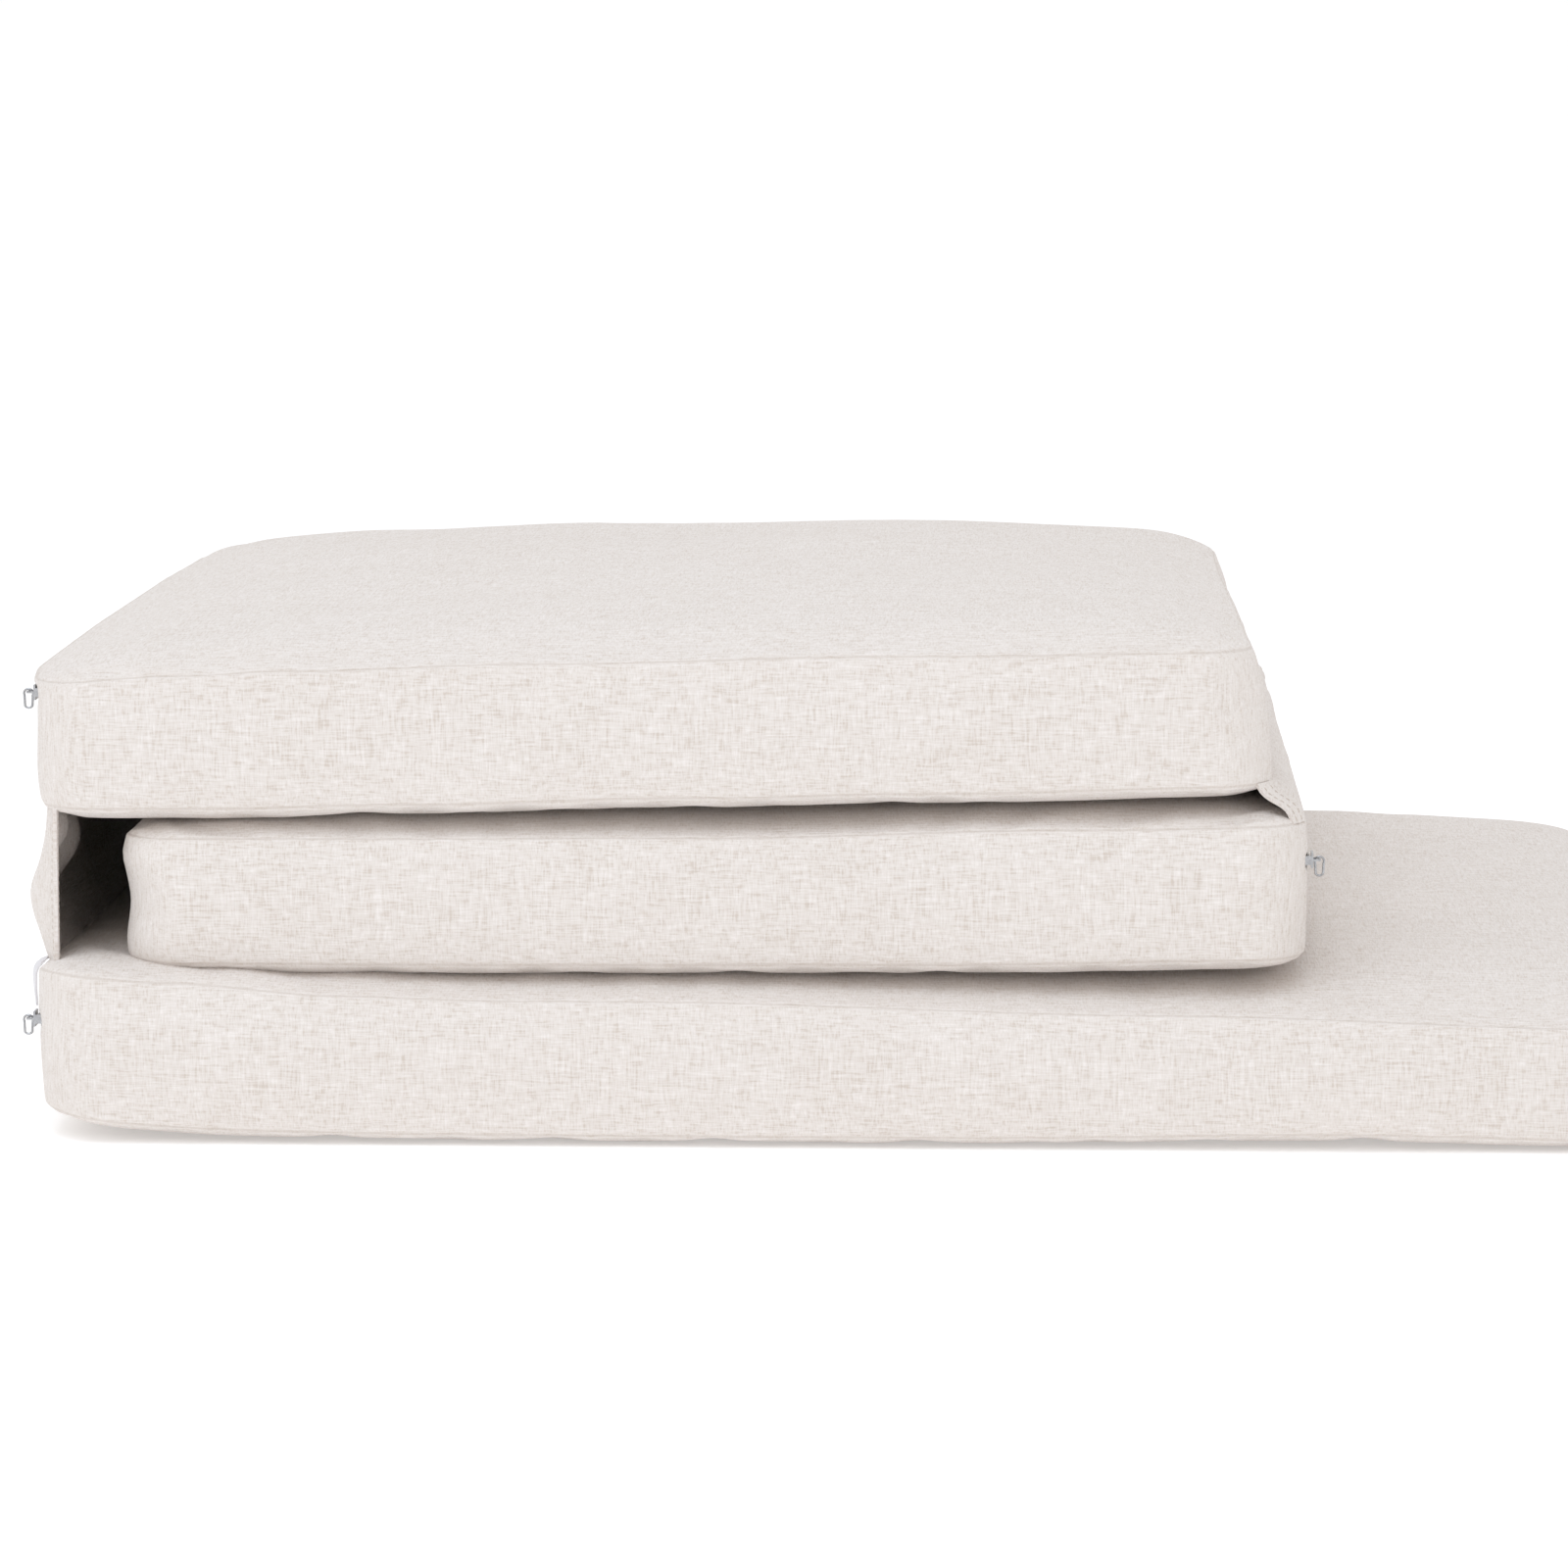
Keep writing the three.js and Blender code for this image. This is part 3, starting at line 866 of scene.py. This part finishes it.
def zip_tape(panel, out, way):
    """One tape: flat beside the coil, then curled away from the wall."""
    part = "upper" if way > 0 else "lower"
    low, high = mm_box(f"{panel.name}_zip_tape_{part}")
    edge = low[2] if way > 0 else high[2]
    x = (low[0] + high[0]) / 2

    def point(y, v):
        run = TAPE_WIDTH * v
        turn = max(run - TAPE_FLAT, 0) / TAPE_CURL
        return (x - out * TAPE_CURL * (1 - math.cos(turn)), y,
                edge + way * (min(run, TAPE_FLAT) + TAPE_CURL * math.sin(turn)))

    vs = np.linspace(0, 1, 10)
    ys = np.linspace(low[1] + TAPE_IN_FRONT, high[1] - TAPE_IN_BACK, 40)
    made = ribbon(f"{panel.name}_tape_{part}", point, ys, vs if way * out < 0 else vs[::-1],
                  TAPE_THICK, stitched=False)
    paint(made, TAPE)
    return made


for key, panel in PANELS.items():
    out = 1 if panel.zip_side == "right" else -1
    coil = zip_coil(panel, out)
    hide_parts(f"{key}_zip_coil")
    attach(coil, BODIES[key])
    for part, way in (("lower", -1), ("upper", 1)):
        tape = zip_tape(panel, out, way)
        low, high = mm_box(f"{key}_zip_tape_{part}")
        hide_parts(f"{key}_zip_tape_{part}")
        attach(tape, BODIES[key])


# ---------------------------------------------------------------- spine strip, flap and label

spine_low, spine_high = mm_box("spine_strip")
slack = waves(71, 120, 320, 8)
crease = waves(72, 26, 80, 10)
base_seam = seam_line(PANELS["base"], -1, True)
top_seam = seam_line(PANELS["top"], -1, False)
SPINE_HEM_IN = 10.5  # how far inside the panels' left ends the strip's hems stand
# each fold's depth, place from the strip's front end and spread, then its height and spread in v
SPINE_FOLDS = ((19.0, 46, 16, 0.84, 0.24), (16.0, 90, 20, 0.66, 0.28),
               (7.0, 330, 40, 0.6, 0.3), (8.0, 520, 34, 0.45, 0.3))


def bump_at(x, centre, width):
    return math.exp(-((x - centre) / width) ** 2)


def spine_point(y, v):
    """v runs from the base panel's seam to the top panel's. Folds lie near the front end."""
    inset = max(min(y - spine_low[1], spine_high[1] - y), 0)
    from_front = y - spine_low[1]
    x0, z0 = base_seam(y)
    x1, z1 = top_seam(y)
    x0, z0, x1, z1 = x0 + TUCK, z0 - TUCK * 0.6, x1 + TUCK, z1 + TUCK * 0.6
    taut = max(math.sin(math.pi * min(max(v, 0), 1)), 0) ** 0.7
    inner = 1 - math.exp(-(inset / 26) ** 2)
    at_hem = math.exp(-(inset / 22) ** 2)
    belly = 7.0 + 5.0 * bump_at(v, 0.34, 0.3)
    folds = sum(deep * bump_at(from_front, place, spread) * bump_at(v, height, tall)
                for deep, place, spread, height, tall in SPINE_FOLDS)
    fold = 1.5 * float(slack(y, v * 90)) + 0.5 * float(crease(y * 0.6, v * 60))
    out = taut * inner * (belly - folds + fold)
    line = x0 + (x1 - x0) * v
    return (line + (LEFT + SPINE_HEM_IN - line) * at_hem - out, y, z0 + (z1 - z0) * v)


ys = hemmed_rows(spine_low[1], spine_high[1])
halves = {"lower": np.linspace(0, 0.5, 12), "upper": np.linspace(0.5, 1, 12)}
for half, vs in halves.items():
    strip = ribbon(f"spine_strip_{half}", spine_point, ys, vs, CLOTH_THICK)
    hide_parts("spine_strip")
    if half == "lower":
        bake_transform(strip)
    else:
        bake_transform(strip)

flap_low, flap_high = mm_box("flap")
flap_upper = seam_line(PANELS["top"], 1, False)
flap_lower = seam_line(PANELS["middle"], 1, True)


def flap_point(y, v):
    """v runs from the top panel's lower seam to the middle panel's upper one."""
    inset = max(min(y - flap_low[1], flap_high[1] - y), 0)
    x0, z0 = flap_upper(y)
    x1, z1 = flap_lower(y)
    x0, z0, x1, z1 = x0 - TUCK, z0 + TUCK * 0.5, x1 - TUCK, z1 - TUCK * 0.5
    inner = 1 - math.exp(-(inset / 22) ** 2)
    taut = math.sin(math.pi * min(max(v, 0), 1))
    out = (1.0 + 4.0 * inner + 0.8 * inner * float(slack(y + 300, v * 40))) * taut
    wave = 1.6 * (1 - inner) * math.sin(2 * math.pi * v)
    return (x0 + (x1 - x0) * v + 0.75 * (out - wave), y,
            z0 + (z1 - z0) * v + 0.6 * (out - wave))


flap = ribbon("hinge_flap", flap_point, hemmed_rows(flap_low[1], flap_high[1]),
              np.linspace(1, 0, 12), CLOTH_THICK)
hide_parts("flap")
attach(flap, "folded_stack")

# the blank label, folded double, caught in the base panel's seam beside the spine strip
label_low, label_high = mm_box("care_label")
LABEL_TALL = 21.0
LABEL_OFF, LABEL_FAN = 3.2, 7.5  # how far the front edge stands off, and how much more the back


def label_point(y, v):
    """v runs down from the seam. The back edge stands further off the wall than the front."""
    x0, z0 = base_seam(y)
    share = (y - label_low[1]) / (label_high[1] - label_low[1])
    rise = (1 - math.exp(-max(v, 0) / 0.14)) * (1 - 0.25 * v)
    return (x0 + TUCK - 1.0 - (LABEL_OFF + LABEL_FAN * share) * rise, y,
            z0 + 0.5 - LABEL_TALL * v)


tab = ribbon("blank_label", label_point, np.linspace(label_low[1], label_high[1], 12),
             np.linspace(1, 0, 12), LABEL_THICK, stitched=False)
paint(tab, LABEL)
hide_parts("care_label")
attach(tab, "base")


# ---------------------------------------------------------------- floor, light, camera
# in metres from here on

FLOOR_SIZE, FLOOR_DROP = 600, 0.0005
FLOOR_GLOW = 0.22  # keeps the floor and background pure white
ROOM_LIGHT = 0.84


def area_light(name, place, aim, size, power, colour):
    data = bpy.data.lights.new(name, "AREA")
    data.shape, data.size, data.size_y = "RECTANGLE", size[0], size[1]
    data.energy, data.color = power, colour
    made = bpy.data.objects.new(name, data)
    made.location = place
    made.rotation_euler = (Vector(aim) - Vector(place)).to_track_quat("-Z", "Y").to_euler()
    bpy.context.scene.collection.objects.link(made)


bpy.ops.mesh.primitive_plane_add(size=FLOOR_SIZE, location=(0, 0, -FLOOR_DROP))
floor = bpy.context.object
floor.name = "floor"
n = Nodes("studio_floor")
n.shader.inputs["Base Color"].default_value = (0.94, 0.94, 0.94, 1)
n.shader.inputs["Roughness"].default_value = 0.9
n.shader.inputs["Emission Color"].default_value = (1, 1, 1, 1)
n.shader.inputs["Emission Strength"].default_value = FLOOR_GLOW
floor.data.materials.append(n.material)

world = bpy.data.worlds.new("studio")
bpy.context.scene.world = world
world.use_nodes = True
world.node_tree.nodes["Background"].inputs["Color"].default_value = (1.0, 1.0, 1.0, 1)
world.node_tree.nodes["Background"].inputs["Strength"].default_value = ROOM_LIGHT

area_light("key", place=(-0.7, -1.2, 2.8), aim=(0, 0, 0.1), size=(2.4, 2.0), power=25.5,
           colour=(0.82, 0.905, 1.0))
area_light("fill", place=(0.2, -3.2, 0.9), aim=(0, 0, 0.15), size=(1.6, 1.0), power=2.0,
           colour=(1.0, 0.92, 0.84))

FOCAL = 6662.0  # in widths of 1/1600 of the frame
SENSOR = 36.0
YAW, PITCH = math.radians(-2.173), math.radians(7.454)
camera_data = bpy.data.cameras.new("camera")
camera = bpy.data.objects.new("camera", camera_data)
bpy.context.scene.collection.objects.link(camera)
camera_data.sensor_width = SENSOR
camera_data.lens = SENSOR * FOCAL / 1600
camera_data.clip_end = 1000
camera.location = (0.0859, -3.475, 0.5888)
ahead = Vector((math.sin(YAW) * math.cos(PITCH), math.cos(YAW) * math.cos(PITCH),
                -math.sin(PITCH)))
camera.rotation_euler = ahead.to_track_quat("-Z", "Y").to_euler()
bpy.context.scene.camera = camera
bpy.context.scene.view_settings.view_transform = "Standard"
